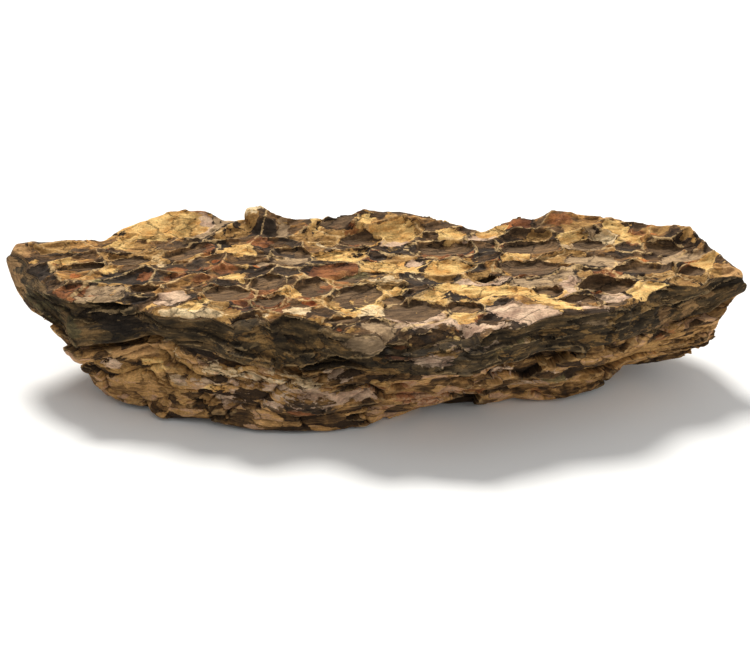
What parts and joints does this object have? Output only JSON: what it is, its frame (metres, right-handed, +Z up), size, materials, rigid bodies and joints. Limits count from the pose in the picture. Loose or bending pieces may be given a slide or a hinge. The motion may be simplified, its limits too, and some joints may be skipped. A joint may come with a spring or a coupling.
{
  "type": "dragon stone",
  "caption": "Flat layered clay rock with a pitted, sharp-ridged top, an undercut slab edge and a narrower broken lower rock, lying on a small flat spot.",
  "frame": {"origin": "on the ground, under the middle of the stone's box", "axes": "+X along the stone's length, towards its rounded end; -Y is the undercut front; +Z up, out of the pitted top"},
  "size_m": [0.382, 0.1468, 0.0748],
  "materials": {
    "clay_rock": "dry, rough and earthy: dark brown crust with ochre, yellow clay, rust and pinkish grey patches, paler on the ridges"
  },
  "bodies": {
    "root": {"stone": "clay_rock"}
  },
  "joints": []
}
